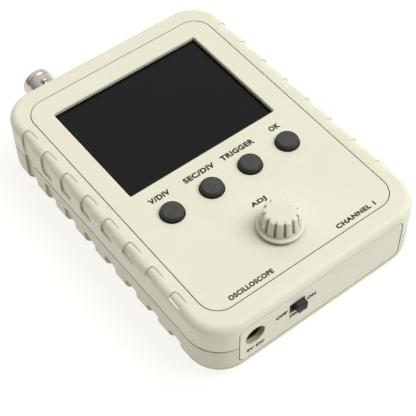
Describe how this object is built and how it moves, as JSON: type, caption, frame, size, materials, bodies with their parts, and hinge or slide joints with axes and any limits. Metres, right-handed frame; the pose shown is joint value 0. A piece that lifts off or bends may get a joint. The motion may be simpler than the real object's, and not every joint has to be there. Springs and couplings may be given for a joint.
{
  "type": "pocket oscilloscope",
  "caption": "Hand-held oscilloscope in a cream plastic case with a colour screen, push buttons, a rotary knob, a bayonet signal input and a DC power input.",
  "frame": {"origin": "centre of the case's flat back face", "axes": "+Z out of the screen, +X the way the labels read, +Y towards the end with the signal input"},
  "size_m": [0.075, 0.1156, 0.0292],
  "materials": {
    "caseplastic": "fine matte moulded ABS, cream",
    "black": "matte black moulded plastic",
    "screen": "unlit liquid-crystal panel behind glossy glass",
    "whiteplastic": "white moulded plastic",
    "ribbon": "amber flexible circuit film",
    "board": "green solder mask over glass-fibre board",
    "nickel": "satin nickel plating",
    "steel": "bright zinc-plated steel",
    "brass": "gold-flashed brass",
    "chip": "black moulded plastic"
  },
  "bodies": {
    "root": {"front_shell": "caseplastic", "rear_shell": "caseplastic", "front_panel": "caseplastic", "bottom_end_panel": "caseplastic", "top_end_panel": "caseplastic", "lcd_glass": "screen", "lcd_backlight": "whiteplastic", "bnc_insulator": "whiteplastic", "trimmer_body_1": "whiteplastic", "trimmer_body_2": "whiteplastic", "lcd_ribbon": "ribbon", "main_board": "board", "analog_board": "board", "control_board": "board", "tact_switch_v_div": "chip", "tact_switch_sec_div": "chip", "tact_switch_trigger": "chip", "tact_switch_ok": "chip", "encoder_body": "steel", "coupling_switch_body": "steel", "power_switch_body": "chip", "bnc_shell": "nickel", "dc_jack_pin": "nickel", "test_signal_terminal": "nickel", "shield_can": "nickel", "bnc_contact": "brass", "bnc_base": "chip", "dc_jack_body": "chip", "control_header_pins": "chip", "control_header_socket": "chip", "analog_header_pins": "chip", "analog_header_socket": "chip", "processor_chip": "chip", "regulator_chip": "chip", "capacitor_1": "chip", "capacitor_2": "chip", "case_screw_bottom_left": "steel", "case_screw_bottom_right": "steel", "case_screw_top_left": "steel", "case_screw_top_right": "steel", "main_board_screw_1": "steel", "main_board_screw_2": "steel", "main_board_screw_3": "steel", "main_board_screw_4": "steel", "analog_board_screw_1": "steel", "analog_board_screw_2": "steel", "control_board_screw_1": "steel", "control_board_screw_2": "steel"},
    "button_v_div": {"button_v_div": "black"},
    "button_sec_div": {"button_sec_div": "black"},
    "button_trigger": {"button_trigger": "black"},
    "button_ok": {"button_ok": "black"},
    "encoder_rotor": {"encoder_rotor": "whiteplastic"},
    "knob": {"adjust_knob": "caseplastic", "encoder_shaft": "steel"},
    "power_switch_lever": {"power_switch_lever": "black"},
    "coupling_switch_lever": {"coupling_switch_lever": "black"},
    "trimmer_rotor_1": {"trimmer_rotor_1": "brass"},
    "trimmer_rotor_2": {"trimmer_rotor_2": "brass"}
  },
  "joints": [
    {"name": "v_div_press", "type": "slide", "parent": "root", "child": "button_v_div", "axis": [0, 0, -1], "range_m": [0, 0.00025], "stiffness_N_per_m": 2000},
    {"name": "sec_div_press", "type": "slide", "parent": "root", "child": "button_sec_div", "axis": [0, 0, -1], "range_m": [0, 0.00025], "stiffness_N_per_m": 2000},
    {"name": "trigger_press", "type": "slide", "parent": "root", "child": "button_trigger", "axis": [0, 0, -1], "range_m": [0, 0.00025], "stiffness_N_per_m": 2000},
    {"name": "ok_press", "type": "slide", "parent": "root", "child": "button_ok", "axis": [0, 0, -1], "range_m": [0, 0.00025], "stiffness_N_per_m": 2000},
    {"name": "knob_turn", "type": "hinge", "parent": "root", "child": "encoder_rotor", "pos_m": [-0.0002, -0.03325, 0.0111], "axis": [0, 0, 1], "continuous": true},
    {"name": "knob_press", "type": "slide", "parent": "encoder_rotor", "child": "knob", "axis": [0, 0, -1], "range_m": [0, 0.0005], "stiffness_N_per_m": 1500},
    {"name": "power_switch_slide", "type": "slide", "parent": "root", "child": "power_switch_lever", "axis": [1, 0, 0], "range_m": [-0.0015, 0]},
    {"name": "coupling_switch_slide", "type": "slide", "parent": "root", "child": "coupling_switch_lever", "axis": [1, 0, 0], "range_m": [-0.002, 0.002]},
    {"name": "trimmer_1_turn", "type": "hinge", "parent": "root", "child": "trimmer_rotor_1", "pos_m": [-0.002, 0.024, 0.007], "axis": [0, 0, 1], "continuous": true},
    {"name": "trimmer_2_turn", "type": "hinge", "parent": "root", "child": "trimmer_rotor_2", "pos_m": [-0.002, 0.012, 0.007], "axis": [0, 0, 1], "continuous": true}
  ]
}
